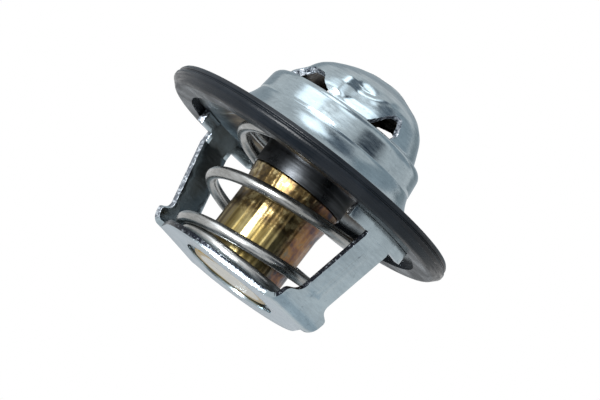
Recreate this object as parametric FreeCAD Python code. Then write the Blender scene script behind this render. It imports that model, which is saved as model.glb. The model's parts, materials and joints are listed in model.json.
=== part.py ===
"""Wax-pellet engine thermostat with a stamped dome, a two-legged stirrup and a rubber flange seal.

Millimetres, +Z along the valve axis towards the dome. The origin is on the axis at the
underside of the stirrup's base. The stirrup's legs stand on the X axis.
"""
import FreeCAD, Part
import math
import os

V = FreeCAD.Vector

# Flange and its rubber seal
seal_radius = 27.0            # largest radius of the moulded seal, 54 mm across
seal_height = 3.3
seal_width = 4.7              # lower lip, from its bore to the largest radius
seal_chamfer = 1.8            # width of the chamfer under the largest radius
seal_lip = 1.5                # thickness of the lower lip under the flange
seal_top_width = 3.3          # upper lip, from its bore to the largest radius
seal_plane = 19.5             # underside of the seal above the stirrup's underside
sheet = 1.1                   # stamped sheet of dome and flange
flange_inset = 1.4            # rubber outside the flange's rim

# Dome
flare_radius = 8.0            # bell flare between the flange and the dome's band
band_radius = 14.95
band_rise = 8.1               # start of the band above the seal's underside
band_top_radius = 14.45
shoulder_rise = 12.5
shoulder_fillet = 1.6
foot_fillet = 0.5             # between the shoulder and the cap
cap_foot_radius = 12.75
cap_foot_rise = 12.75
cap_corner_radius = 10.5
cap_corner_rise = 18.4
cap_fillet = 6.5
crown_radius = 4.3            # flat crown that takes the piston
crown_rise = 21.1
crown_fillet = 6.0

# Two dents pressed into the cap, each with a flow opening either side of its foot
dent_turn = -66.0             # azimuth of the first dent's middle, degrees
dent_sections = (             # rise, radius of the middle, and angle where it runs out on the cap
    (12.75, 10.5, 40), (14.2, 10.3, 45), (16.0, 9.75, 52), (17.5, 8.85, 56), (18.6, 7.7, 58),
    (19.5, 6.3, 60), (20.3, 4.5, 62), (20.9, 3.0, 64), (21.4, 2.2, 64),
)
dent_overrun = 0.8            # width of the press tool beyond the dent at each side
opening_left = (              # corners: angle from the dent's middle, and rise
    (-56, 12.75), (-43, 15.9), (-28, 15.7), (-16, 13.8), (-3, 12.75),
)
opening_right = (
    (29.4, 12.75), (49, 16.5), (59, 16.9), (59.5, 14.0), (53, 12.75),
)

# Stirrup
strap = 0.95                  # sheet of the stirrup
base_radius = 13.3
base_hole_radius = 8.6
ear_half_width = 5.6
leg_half_width = 3.25
leg_foot_radius = 16.8        # outer face of the leg just above the bend
bend_radius = 1.7             # inside radius of the bend from base to leg
ear_rise = 3.0
ear_fillet = 1.6
head_half_angle = 20.5
head_gap = 0.25               # between the T-heads and the seal's lower lip
head_drops = (2.1, 0.7)       # how far each T-head hangs below the seal's underside
lug_half_angle = 8.0
lug_hook_gap = 0.4            # between the clinched lug's end and the seal's upper lip
slot_clearance = 0.15
rib_height = 0.16
rib_half_width = 0.8
rib_foot = 5.0
rib_head = 15.2

# Main spring
wire_radius = 1.02
spring_foot_radius = 11.7     # to the wire's centre
spring_head_radius = 12.9
spring_tuck = 1.5             # how far the lower end is wound inside the first turn
spring_tuck_turn = 300.0      # turn over which the tucked end widens out
spring_pitch = 9.15
spring_start = -126.0         # azimuth of the lower end, degrees
spring_lead = 324.0           # turn from the lower end to the point where the climb begins
spring_ease = 60.0            # half the turn over which the climb sets in and dies out
spring_tail = 270.0           # flat turn at the top
spring_step = 15.0            # turn between two points of the wire's path

# Valve disc and its rubber seat ring
disc_rise = 4.3               # spring seat above the seal's underside
disc_radius = 14.6
collar_radius = 8.4
collar_drop = 1.35            # lower edge of the collar below the seal's underside
collar_wall = 1.0
collar_fillet = 2.6
gasket_thickness = 0.9
gasket_width = 3.0
seat_gap = 0.15               # between the seat ring and the flare when shut

# Wax element
case_foot_rise = 0.4          # case's end above the stirrup's underside when shut
case_radius = 7.45
case_bead = 0.2               # crimped bead's shoulder, inside the collar's outer face
case_flare_length = 4.8
case_wall = 0.8
case_corner = 0.8
case_proud = 1.0              # case's rim above the valve disc
case_lip = 0.7                # thickness of the rim that is rolled over the guide
case_lip_width = 2.1
fit = 0.05                    # radial clearance of the element's inner pieces
piston_radius = 2.0
piston_depth = 6.0            # piston's lower end below the guide
guide_bottom_rise = -0.6
guide_nose_radius = 3.9
guide_nose_top = 11.4
guide_nose_taper = 0.7
guide_nose_chamfer = 0.5
wiper_radius = 3.0
wiper_height = 1.2
washer_thickness = 0.4
boot_flange = 0.9
boot_wall = 1.1
boot_floor = 1.4

# Sizes that follow from the ones above
flange_radius = seal_radius - flange_inset
seal_foot_radius = seal_radius - seal_chamfer
seal_lip_inner = seal_radius - seal_width
seal_top_inner = seal_radius - seal_top_width
head_radius = seal_lip_inner - head_gap
lug_hook_radius = seal_top_inner - lug_hook_gap
case_neck_radius = collar_radius - collar_wall - fit
case_flare_radius = collar_radius - case_bead
case_top_rise = disc_rise + collar_wall + case_proud


def polar(radius, degrees, z):
    """Point at a radius and azimuth."""
    turn = math.radians(degrees)
    return V(radius * math.cos(turn), radius * math.sin(turn), z)


def section_point(point):
    """A (radius, height) pair as a point of the XZ plane."""
    return V(point[0], 0, point[1])


def rounded_path(points, fillets):
    """Lines through (radius, height) points, with an arc of the given radius at each inner point."""
    corners = [section_point(p) for p in points]
    edges = []
    start = corners[0]
    for before, corner, after, fillet in zip(corners, corners[1:], corners[2:], fillets):
        back = (before - corner).normalize()
        ahead = (after - corner).normalize()
        half_turn = (math.pi - back.getAngle(ahead)) / 2
        if fillet <= 0 or half_turn < 1e-4:
            edges.append(Part.makeLine(start, corner))
            start = corner
            continue
        reach = fillet * math.tan(half_turn)
        first = corner + back * reach
        last = corner + ahead * reach
        bisector = (back + ahead).normalize()
        middle = corner + bisector * (fillet / math.cos(half_turn) - fillet)
        if (first - start).Length > 1e-6:
            edges.append(Part.makeLine(start, first))
        edges.append(Part.Arc(first, middle, last).toShape())
        start = last
    edges.append(Part.makeLine(start, corners[-1]))
    return edges


def offset_points(points, distance):
    """The same path moved sideways, to the left of its direction when the distance is positive."""
    moved = []
    normals = []
    for (r0, z0), (r1, z1) in zip(points, points[1:]):
        length = math.hypot(r1 - r0, z1 - z0)
        normals.append((-(z1 - z0) / length, (r1 - r0) / length))
    for index, (r, z) in enumerate(points):
        first = normals[max(index - 1, 0)]
        second = normals[min(index, len(normals) - 1)]
        scale = distance / (1 + first[0] * second[0] + first[1] * second[1])
        moved.append((r + (first[0] + second[0]) * scale, z + (first[1] + second[1]) * scale))
    return moved


def turn_signs(points):
    """+1 at inner points where the path turns left, -1 where it turns right."""
    signs = []
    for (r0, z0), (r1, z1), (r2, z2) in zip(points, points[1:], points[2:]):
        cross = (r1 - r0) * (z2 - z1) - (z1 - z0) * (r2 - r1)
        signs.append(1 if cross > 0 else -1)
    return signs


def revolve_edges(edges):
    """Solid of revolution about Z from a closed chain of edges in the XZ plane."""
    face = Part.Face(Part.Wire(Part.__sortEdges__(edges)))
    return face.revolve(V(0, 0, 0), V(0, 0, 1), 360)


def sheet_of_revolution(points, fillets, thickness):
    """Sheet metal turned about Z: the path is one face and the other lies to its left."""
    other = offset_points(points, thickness)
    signs = turn_signs(points)
    inner = [max(f - s * thickness, 0.05) if f > 0 else 0 for f, s in zip(fillets, signs)]
    edges = rounded_path(points, fillets)
    edges += rounded_path(other, inner)
    for a, b in ((points[0], other[0]), (points[-1], other[-1])):
        edges.append(Part.makeLine(section_point(a), section_point(b)))
    return revolve_edges(edges)


def turned(points, fillets=()):
    """Turned solid from a closed (radius, height) outline with optional corner fillets."""
    closed = list(points) + [points[0]]
    rounds = list(fillets) + [0] * (len(points) - 1 - len(fillets))
    return revolve_edges(rounded_path(closed, rounds))


def sector(inner, outer, low, high, middle, half_angle):
    """Block between two radii and two heights over an angle either side of an azimuth."""
    start = middle - half_angle
    end = middle + half_angle
    outer_arc = Part.Arc(polar(outer, start, low), polar(outer, middle, low), polar(outer, end, low))
    inner_arc = Part.Arc(polar(inner, end, low), polar(inner, middle, low), polar(inner, start, low))
    edges = [
        outer_arc.toShape(),
        Part.makeLine(polar(outer, end, low), polar(inner, end, low)),
        inner_arc.toShape(),
        Part.makeLine(polar(inner, start, low), polar(outer, start, low)),
    ]
    return Part.Face(Part.Wire(edges)).extrude(V(0, 0, high - low))


def flange_seal():
    """Moulded ring: lower lip, outer wall with two ridges, and upper lip round the flange's edge."""
    z = seal_plane
    flange_low = z + seal_lip
    flange_high = flange_low + sheet
    top = z + seal_height
    corner = seal_radius - seal_foot_radius
    outer = [
        (seal_lip_inner, z),
        (seal_foot_radius, z),
        (seal_foot_radius + 0.35 * corner, z + 0.12 * corner),
        (seal_radius, z + 0.78 * corner),
        (seal_radius, top - 1.25),
        (seal_radius - 0.5, top - 1.0),
        (seal_radius - 0.12, top - 0.7),
        (seal_radius - 0.35, top - 0.35),
        (seal_radius - 0.6, top),
        (seal_top_inner, top),
        (seal_top_inner, flange_high),
        (flange_radius, flange_high),
        (flange_radius, flange_low),
        (seal_lip_inner, flange_low),
    ]
    return turned(outer, [0.6, 1.0, 0.6, 0.2, 0.12, 0.25, 0.2, 0.25, 0.2, 0, 0, 0])


def dome_path():
    """Outer side of the dome's section from the band's foot to the axis, as (radius, rise) corners."""
    return [
        (band_radius, band_rise),
        (band_top_radius, shoulder_rise),
        (cap_foot_radius, cap_foot_rise),
        (cap_corner_radius, cap_corner_rise),
        (crown_radius, crown_rise),
        (0, crown_rise),
    ]


def dome_side(inset):
    """Solid bounded by the dome's outer side, or by its inner side when the inset is the sheet."""
    flange_low = seal_plane + seal_lip
    flange_top = flange_low + sheet
    rise = seal_plane + band_rise - flange_top
    flare_run = math.sqrt(flare_radius ** 2 - (flare_radius - rise) ** 2)
    centre = V(band_radius + flare_run, 0, flange_top + flare_radius)
    sweep = math.asin(min(flare_run / flare_radius, 1))
    reach = flare_radius + inset
    flare = [centre + V(-reach * math.sin(a), 0, -reach * math.cos(a)) for a in (0, sweep / 2, sweep)]
    upper = [(radius, seal_plane + rise) for radius, rise in dome_path()]
    fillets = [shoulder_fillet - inset, foot_fillet + inset, cap_fillet - inset, crown_fillet - inset]
    rim = [flare[0]]
    if inset > 0:
        upper = offset_points(upper, inset)
        upper[0] = (flare[2].x, flare[2].z)
    else:
        rim.append(V(flange_radius, 0, flange_top))
        rim.append(V(flange_radius, 0, flange_low))
    rim.append(V(0, 0, flange_low))
    edges = rounded_path(upper, fillets)
    edges.append(Part.Arc(*flare).toShape())
    for start, end in zip(rim, rim[1:]):
        edges.append(Part.makeLine(start, end))
    edges.append(Part.makeLine(rim[-1], section_point(upper[-1])))
    return revolve_edges(edges)


def cap_radius(rise):
    """Outer radius of the undented cap at a rise; the crown's radius above it."""
    fillets = [shoulder_fillet, foot_fillet, cap_fillet, crown_fillet]
    points = []
    for edge in rounded_path(dome_path(), fillets):
        points += [(p.x, p.z) for p in edge.discretize(20)]
    for (r0, z0), (r1, z1) in zip(points, points[1:]):
        if r0 <= cap_foot_radius and z0 <= rise < z1:
            return r0 + (r1 - r0) * (rise - z0) / (z1 - z0)
    return crown_radius if rise > cap_foot_rise else cap_foot_radius


def dent_tool(middle, inset):
    """Press tool for one dent; with the sheet as inset it leaves the wall behind the dent."""
    line = [(radius, rise) for rise, radius, angle in dent_sections]
    moved = offset_points(line, inset) if inset > 0 else line
    if inset > 0:
        moved[0] = (line[0][0] - inset, line[0][1] - inset)
    outside = 2 * cap_foot_radius
    sections = []
    for (front, height), (radius, rise), (_, _, angle) in zip(moved, line, dent_sections):
        z = seal_plane + height
        cap = cap_radius(rise)
        end_x = cap * math.cos(math.radians(angle))
        end_y = cap * math.sin(math.radians(angle))
        bow = ((end_x - radius) ** 2 + end_y ** 2) / (2 * (radius - end_x)) - inset
        half = min(end_y + dent_overrun, 0.97 * bow)
        side = front - bow + math.sqrt(bow ** 2 - half ** 2)
        corners = [V(side, half, z), V(outside, half, z), V(outside, -half, z), V(side, -half, z)]
        edges = [Part.Arc(corners[3], V(front, 0, z), corners[0]).toShape()]
        edges += [Part.makeLine(start, end) for start, end in zip(corners, corners[1:])]
        sections.append(Part.Wire(edges))
    tool = Part.makeLoft(sections, True, False)
    reach = cap_foot_radius + 0.01
    keep = Part.makeCylinder(reach, crown_rise, V(0, 0, seal_plane + cap_foot_rise - 2 * sheet))
    tool = tool.common(keep)
    tool.rotate(V(0, 0, 0), V(0, 0, 1), middle)
    return tool


def opening_cutter(corners, middle):
    """Cutter for one flow opening, spreading from the axis through its corners."""
    centre = (corners[0][0] + corners[-1][0]) / 2
    wires = []
    for distance in (dent_sections[0][1] / 2, cap_foot_radius * 1.2):
        outline = []
        for angle, rise in corners:
            across = distance * math.tan(math.radians(angle - centre))
            outline.append(V(distance, across, seal_plane + rise))
        wires.append(Part.makePolygon(outline + outline[:1]))
    block = Part.makeLoft(wires, True, True)
    block = block.common(Part.makeCylinder(cap_foot_radius + 0.01, 2 * seal_plane + crown_rise))
    block.rotate(V(0, 0, 0), V(0, 0, 1), middle + centre)
    return block


def flange_dome():
    """Drawn flange and dome with its dents, flow openings and the slots for the stirrup's lugs."""
    outer = dome_side(0)
    inner = dome_side(sheet)
    for middle in (dent_turn, dent_turn + 180):
        outer = outer.cut(dent_tool(middle, 0))
        inner = inner.cut(dent_tool(middle, sheet))
    body = outer.cut(inner)
    for middle in (dent_turn, dent_turn + 180):
        for corners in (opening_left, opening_right):
            body = body.cut(opening_cutter(corners, middle))
    flange_low = seal_plane + seal_lip
    lug_outer = head_radius + slot_clearance
    lug_inner = head_radius - strap - slot_clearance
    margin = math.degrees(slot_clearance / lug_inner)
    for middle in (0, 180):
        slot = sector(lug_inner, lug_outer, flange_low - 1, flange_low + sheet + 1, middle,
                      lug_half_angle + margin)
        body = body.cut(slot)
    return body


def base_outline():
    """Base plate: round sides that run out tangentially to the ears at the two bends."""
    ear_x = leg_foot_radius - strap - bend_radius
    reach = math.hypot(ear_x, ear_half_width)
    ear_turn = math.atan2(ear_half_width, ear_x)
    touch = ear_turn + math.acos(base_radius / reach)
    tangent = (base_radius * math.cos(touch), base_radius * math.sin(touch))
    right = V(tangent[0], tangent[1], 0)
    left = V(-tangent[0], tangent[1], 0)
    mirror = [V(p.x, -p.y, 0) for p in (right, left)]
    corners = [V(ear_x, ear_half_width, 0), V(-ear_x, ear_half_width, 0),
               V(-ear_x, -ear_half_width, 0), V(ear_x, -ear_half_width, 0)]
    edges = [
        Part.makeLine(corners[0], right),
        Part.Arc(right, V(0, base_radius, 0), left).toShape(),
        Part.makeLine(left, corners[1]),
        Part.makeLine(corners[1], corners[2]),
        Part.makeLine(corners[2], mirror[1]),
        Part.Arc(mirror[1], V(0, -base_radius, 0), mirror[0]).toShape(),
        Part.makeLine(mirror[0], corners[3]),
        Part.makeLine(corners[3], corners[0]),
    ]
    return Part.Face(Part.Wire(edges))


def leg_profile():
    """Side view of one leg as sheet: base, bend, sloping leg and the upright head."""
    head_low = seal_plane - min(head_drops)
    ear_x = leg_foot_radius - strap - bend_radius
    path = [
        (ear_x - 2, 0),
        (leg_foot_radius, 0),
        (head_radius, seal_plane - max(head_drops)),
        (head_radius, head_low + 0.5),
    ]
    other = offset_points(path, strap)
    fillets = [bend_radius + strap, 3.0]
    inner = [bend_radius, 3.0 + strap]
    edges = rounded_path(path, fillets) + rounded_path(other, inner)
    edges.append(Part.makeLine(section_point(path[0]), section_point(other[0])))
    edges.append(Part.makeLine(section_point(path[-1]), section_point(other[-1])))
    return Part.Face(Part.Wire(Part.__sortEdges__(edges)))


def leg_front():
    """Front view of one leg: ears at the bend that draw in to the leg, up to the T-head."""
    top = seal_plane + seal_lip
    draw_in = ear_half_width - leg_half_width
    outline = [
        (ear_half_width, -1),
        (ear_half_width, ear_rise),
        (leg_half_width, ear_rise + 0.45 * draw_in),
        (leg_half_width, top),
        (-leg_half_width, top),
        (-leg_half_width, ear_rise + 0.45 * draw_in),
        (-ear_half_width, ear_rise),
        (-ear_half_width, -1),
    ]
    fillets = [0.9, ear_fillet, 0, 0, ear_fillet, 0.9]
    edges = rounded_path(outline, fillets)
    edges.append(Part.makeLine(section_point(outline[-1]), section_point(outline[0])))
    face = Part.Face(Part.Wire(Part.__sortEdges__(edges)))
    face.rotate(V(0, 0, 0), V(0, 0, 1), 90)
    return face.extrude(V(head_radius + 2, 0, 0))


def leg_rib():
    """Shallow stiffening bead down the outer face of a leg."""
    foot = V(leg_foot_radius, 0, 0)
    head = V(head_radius, 0, seal_plane - max(head_drops))
    slope = (head - foot).normalize()
    outward = V(slope.z, 0, -slope.x)
    radius = (rib_half_width ** 2 + rib_height ** 2) / (2 * rib_height)
    start = foot + slope * rib_foot - outward * (radius - rib_height)
    rib = Part.makeCylinder(radius, rib_head - rib_foot, start, slope)
    keep = Part.makeBox(rib_height + 0.3, 2 * rib_half_width, rib_head - rib_foot)
    keep.translate(V(-0.3, -rib_half_width, 0))
    keep.rotate(V(0, 0, 0), V(0, 1, 0), math.degrees(math.atan2(slope.x, slope.z)))
    keep.translate(foot + slope * rib_foot)
    return rib.common(keep)


def leg(head_drop):
    """One leg along +X with its T-head and the lug that is clinched over the flange."""
    flange_low = seal_plane + seal_lip
    flange_high = flange_low + sheet
    side = leg_profile().extrude(V(0, 2 * ear_half_width, 0))
    side.translate(V(0, -ear_half_width, 0))
    body = side.common(leg_front())
    body = body.common(Part.makeCylinder(head_radius, flange_high))
    inner = head_radius - strap
    head = sector(inner, head_radius, seal_plane - head_drop, flange_low, 0, head_half_angle)
    half = math.degrees(leg_half_width / head_radius)
    neck = sector(inner, head_radius, seal_plane - max(head_drops) - 0.2, flange_low, 0, half)
    lug = sector(inner, head_radius, flange_low, flange_high + strap, 0, lug_half_angle)
    hook = sector(inner, lug_hook_radius, flange_high, flange_high + strap, 0, lug_half_angle)
    return body.multiFuse([head, neck, lug, hook, leg_rib()])


def stirrup():
    """Stamped two-legged frame: base with its guide hole, bends with ears, legs and T-heads."""
    plate = base_outline().extrude(V(0, 0, strap))
    legs = []
    for azimuth, drop in zip((0, 180), head_drops):
        part = leg(drop)
        part.rotate(V(0, 0, 0), V(0, 0, 1), azimuth)
        legs.append(part)
    body = plate.multiFuse(legs)
    hole = Part.makeCylinder(base_hole_radius, 3 * strap, V(0, 0, -strap))
    return body.cut(hole)


def spring_path():
    """Centre line of the wire: flat lower turn, steady climb, flat upper turn, widening upwards."""
    low = strap + wire_radius
    high = seal_plane + disc_rise - wire_radius
    per_degree = spring_pitch / 360
    climb = (high - low) / per_degree
    total = spring_lead + climb + spring_tail
    count = round(total / spring_step)

    def ramp(turn):
        if turn < -spring_ease:
            return 0
        if turn > spring_ease:
            return turn
        return (turn + spring_ease) ** 2 / (4 * spring_ease)

    points = []
    for index in range(count + 1):
        turn = total * index / count
        rise = per_degree * (ramp(turn - spring_lead) - ramp(turn - spring_lead - climb))
        share = rise / (high - low)
        radius = spring_foot_radius + share * (spring_head_radius - spring_foot_radius)
        radius -= spring_tuck * max(1 - turn / spring_tuck_turn, 0) ** 2
        points.append(polar(radius, spring_start + turn, low + rise))
    return points


def main_spring():
    """Closed-end conical coil spring between the stirrup's base and the valve disc."""
    points = spring_path()
    curve = Part.BSplineCurve()
    curve.interpolate(points)
    path = Part.Wire([curve.toShape()])
    tangent = curve.tangent(curve.FirstParameter)[0]
    section = Part.Wire([Part.makeCircle(wire_radius, points[0], tangent)])
    return path.makePipeShell([section], True, True)


def valve_disc():
    """Drawn disc: a collar for the element and a flat plate that is the spring's upper seat."""
    z = seal_plane
    path = [
        (collar_radius, z - collar_drop),
        (collar_radius, z + disc_rise),
        (disc_radius, z + disc_rise),
    ]
    return sheet_of_revolution(path, [collar_fillet], collar_wall)


def flare_inner_radius(rise):
    """Radius of the flare's inner face at a height above the seal's underside."""
    flange_top = seal_lip + sheet
    climb = band_rise - flange_top
    flare_run = math.sqrt(flare_radius ** 2 - (flare_radius - climb) ** 2)
    centre_radius = band_radius + flare_run
    below_centre = flange_top + flare_radius - rise
    return centre_radius - math.sqrt((flare_radius + sheet) ** 2 - below_centre ** 2)


def valve_gasket():
    """Rubber ring bonded on the disc, with an outer edge shaped to the flare it shuts against."""
    foot = disc_rise + collar_wall
    head = foot + gasket_thickness
    low_radius = flare_inner_radius(foot + 0.25) - seat_gap
    high_radius = flare_inner_radius(head) - seat_gap
    z = seal_plane
    bore = disc_radius - gasket_width
    points = [
        (bore, z + foot),
        (low_radius, z + foot),
        (high_radius, z + head),
        (bore, z + head),
    ]
    return turned(points)


def wax_case():
    """Drawn brass cup with a crimped bead under the disc's collar and a rim rolled over the guide."""
    z = seal_plane
    bead = z - collar_drop
    top = z + case_top_rise
    outside = [
        (0, case_foot_rise),
        (case_radius, case_foot_rise),
        (case_radius, bead - case_flare_length),
        (case_flare_radius, bead),
        (case_neck_radius, bead),
        (case_neck_radius, top),
        (case_neck_radius - case_lip_width, top),
        (case_neck_radius - case_lip_width, top - case_lip),
        (case_neck_radius - case_wall, top - case_lip),
        (case_neck_radius - case_wall, bead),
        (case_radius - case_wall, bead - case_flare_length),
        (case_radius - case_wall, case_foot_rise + case_wall),
        (0, case_foot_rise + case_wall),
    ]
    fillets = [case_corner, 6.0, 0.25, 0, 0.4, 0, 0, 0, 0, 1.0, 0.5, 0]
    return turned(outside, fillets)


def guide_seat():
    """Height of the guide's lower face."""
    return seal_plane + guide_bottom_rise


def piston_guide():
    """Brass guide: a flange held in the case and a tapered nose with the piston's bore."""
    z = seal_plane
    low = guide_seat()
    flange_top = z + case_top_rise - case_lip
    outer = case_neck_radius - case_wall - fit
    bore = piston_radius + fit
    nose_top = z + guide_nose_top
    points = [
        (bore, low),
        (outer, low),
        (outer, flange_top),
        (guide_nose_radius, flange_top),
        (guide_nose_radius - guide_nose_taper, nose_top),
        (wiper_radius, nose_top),
        (wiper_radius, nose_top - wiper_height),
        (bore, nose_top - wiper_height),
    ]
    return turned(points, [0, 0.2, 0.6, 0, 0, 0, 0])


def guide_wiper():
    """Rubber wiper ring in the guide's nose."""
    nose_top = seal_plane + guide_nose_top
    return turned([
        (piston_radius + fit, nose_top - wiper_height),
        (wiper_radius, nose_top - wiper_height),
        (wiper_radius, nose_top),
        (piston_radius + fit, nose_top),
    ])


def chafe_washer():
    """Thin washer that keeps the boot's flange from being drawn into the guide's bore."""
    top = guide_seat()
    outer = case_neck_radius - case_wall - fit
    return turned([
        (piston_radius + fit, top - washer_thickness),
        (outer, top - washer_thickness),
        (outer, top),
        (piston_radius + fit, top),
    ])


def boot_top():
    """Height of the boot's upper face."""
    return guide_seat() - washer_thickness


def piston_low():
    """Height of the piston's lower end."""
    return guide_seat() - piston_depth


def piston_boot():
    """Rubber boot: a flange clamped under the guide and a blind sleeve round the piston."""
    top = boot_top()
    outer = case_neck_radius - case_wall - fit
    sleeve = piston_radius + fit + boot_wall
    floor = piston_low() - fit
    return turned([
        (0, floor - boot_floor),
        (sleeve, floor - boot_floor),
        (sleeve, top - boot_flange),
        (outer, top - boot_flange),
        (outer, top),
        (piston_radius + fit, top),
        (piston_radius + fit, floor),
        (0, floor),
    ], [0.6, 0, 0, 0, 0, 0.4, 0])


def wax_charge():
    """Wax that fills the case round and below the boot."""
    top = boot_top() - boot_flange
    outer = case_radius - case_wall - fit
    sleeve = piston_radius + fit + boot_wall + fit
    floor = piston_low() - fit - boot_floor
    bottom = case_foot_rise + case_wall
    return turned([
        (0, bottom),
        (outer, bottom),
        (outer, seal_plane - collar_drop - case_flare_length),
        (case_neck_radius - case_wall - fit, top),
        (sleeve, top),
        (sleeve, floor),
        (0, floor),
    ], [0.5 + fit, 0, 0, 0, 0, 0])


def piston():
    """Ground steel pin from inside the boot up to the dome's crown."""
    low = piston_low()
    top = seal_plane + crown_rise - sheet
    chamfer = 0.3
    return turned([
        (0, low),
        (piston_radius - chamfer, low),
        (piston_radius, low + chamfer),
        (piston_radius, top - chamfer),
        (piston_radius - chamfer, top),
        (0, top),
    ])


pieces = {
    "flange_dome": flange_dome,
    "flange_seal": flange_seal,
    "stirrup": stirrup,
    "main_spring": main_spring,
    "valve_disc": valve_disc,
    "valve_gasket": valve_gasket,
    "wax_case": wax_case,
    "wax_charge": wax_charge,
    "piston_boot": piston_boot,
    "chafe_washer": chafe_washer,
    "piston_guide": piston_guide,
    "guide_wiper": guide_wiper,
    "piston": piston,
}

os.makedirs("parts", exist_ok=True)
for name, make in pieces.items():
    shape = make()
    shape.exportStep("parts/" + name + ".step")
    box = shape.BoundBox
    print(name, shape.ShapeType, len(shape.Solids), shape.isValid(), round(shape.Volume, 1),
          "z", round(box.ZMin, 2), round(box.ZMax, 2), "r", round(box.XMax, 2))
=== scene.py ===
import bisect
import bmesh
import bpy
import json
import math
from mathutils import Matrix, Vector, geometry, noise


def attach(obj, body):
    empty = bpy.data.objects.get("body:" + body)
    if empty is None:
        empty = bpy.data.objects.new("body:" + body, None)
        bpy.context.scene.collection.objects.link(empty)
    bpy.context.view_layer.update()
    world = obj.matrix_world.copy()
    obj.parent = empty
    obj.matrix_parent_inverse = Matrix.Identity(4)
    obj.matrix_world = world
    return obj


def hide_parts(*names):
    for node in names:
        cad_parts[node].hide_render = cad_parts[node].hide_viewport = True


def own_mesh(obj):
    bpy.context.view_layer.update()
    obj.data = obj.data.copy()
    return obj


MM = 0.001
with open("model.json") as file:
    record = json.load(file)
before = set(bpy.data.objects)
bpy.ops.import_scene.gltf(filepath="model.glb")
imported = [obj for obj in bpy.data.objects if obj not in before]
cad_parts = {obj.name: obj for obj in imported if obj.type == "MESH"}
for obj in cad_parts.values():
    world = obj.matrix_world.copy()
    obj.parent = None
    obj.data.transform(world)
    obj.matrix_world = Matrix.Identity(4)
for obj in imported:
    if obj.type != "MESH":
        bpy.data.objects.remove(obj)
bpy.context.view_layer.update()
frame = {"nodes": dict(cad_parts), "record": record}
nodes = frame["nodes"]

# Sizes shared with the solids, in millimetres; rises are above the seal's underside
SEAL_PLANE = 19.5             # above the stirrup's underside
FLANGE_RADIUS = 25.6
FLANGE_TOP = 2.6
SHEET = 1.1
FLARE_RADIUS = 8.0
BAND_RADIUS = 14.95
BAND_RISE = 8.1
SHOULDER_RADIUS = 14.45
SHOULDER_RISE = 12.5
CAP_FOOT_RADIUS = 12.75
CAP_FOOT_RISE = 12.75
CAP_FLANK = (10.5, 18.4)      # radius and rise
CROWN_RADIUS = 4.3
CROWN_RISE = 21.1
STRAP = 0.95
WIRE_RADIUS = 1.02
SPRING_FOOT_RADIUS = 11.7
SPRING_HEAD_RADIUS = 12.9
SPRING_HEAD_RISE = 4.3
SPRING_PITCH = 9.15

# Camera, fitted to the photograph; the aim is given from the middle of the seal's underside
PHOTO_WIDTH = 600
FOCAL_PIXELS = 4155.0
SENSOR = 36.0
VIEW_TURN = math.radians(46.0)
VIEW_EL = math.radians(7.87)
ROLL_COS, ROLL_SIN = 0.792, 0.610
AIM_RIGHT, AIM_UP = -0.308, -2.525
DISTANCE = 667.0              # millimetres
spin = Matrix.Rotation(VIEW_TURN, 3, "Z")
forward = spin @ Vector((0, math.cos(VIEW_EL), math.sin(VIEW_EL)))
level_right = spin @ Vector((1, 0, 0))
level_up = spin @ Vector((0, -math.sin(VIEW_EL), math.cos(VIEW_EL)))
image_right = level_right * ROLL_COS + level_up * ROLL_SIN
image_up = level_right * -ROLL_SIN + level_up * ROLL_COS
aim = Vector((0, 0, SEAL_PLANE)) + image_right * AIM_RIGHT + image_up * AIM_UP


def make_camera():
    data = bpy.data.cameras.new("camera")
    data.sensor_width = SENSOR
    data.lens = FOCAL_PIXELS / PHOTO_WIDTH * SENSOR
    data.clip_start = 0.01
    data.clip_end = 10
    camera = bpy.data.objects.new("camera", data)
    bpy.context.scene.collection.objects.link(camera)
    place = Matrix((image_right, image_up, -forward)).transposed().to_4x4()
    place.translation = (aim - forward * DISTANCE) * MM
    camera.matrix_world = place
    bpy.context.scene.camera = camera


# Shader trees
class Tree:
    """Short calls for the nodes of one shader tree."""

    def __init__(self, owner):
        owner.use_nodes = True
        self.tree = owner.node_tree

    def node(self, kind):
        return self.tree.nodes.new("ShaderNode" + kind)

    def link(self, source, target):
        self.tree.links.new(source, target)

    def set(self, socket, value):
        """Links a socket to a node's output, or gives it a number or a colour."""
        if isinstance(value, bpy.types.NodeSocket):
            self.link(value, socket)
        elif isinstance(value, (int, float)):
            socket.default_value = value
        else:
            socket.default_value = (*value, 1)

    def maths(self, operation, first, second=0.0):
        n = self.node("Math")
        n.operation = operation
        self.set(n.inputs[0], first)
        self.set(n.inputs[1], second)
        return n.outputs[0]

    def times(self, first, second):
        return self.maths("MULTIPLY", first, second)

    def plus(self, first, second):
        return self.maths("ADD", first, second)

    def axes(self, source):
        n = self.node("SeparateXYZ")
        self.link(source, n.inputs[0])
        return n.outputs


class StageTree(Tree):
    """Tree of plain shaders for the world, the floor and the cards."""

    def __init__(self, owner, output):
        super().__init__(owner)
        self.tree.nodes.clear()
        self.output = self.node(output)

    def shader(self, kind, colour, strength=None):
        n = self.node(kind)
        self.set(n.inputs[0], colour)
        if strength is not None:
            self.set(n.inputs[1], strength)
        return n.outputs[0]

    def clear(self):
        return self.node("BsdfTransparent").outputs[0]

    def blend(self, factor, first, second):
        n = self.node("MixShader")
        for socket, source in zip(n.inputs, (factor, first, second)):
            self.link(source, socket)
        return n.outputs[0]

    def add(self, first, second):
        n = self.node("AddShader")
        self.link(first, n.inputs[0])
        self.link(second, n.inputs[1])
        return n.outputs[0]

    def finish(self, shader):
        self.link(shader, self.output.inputs[0])


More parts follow.
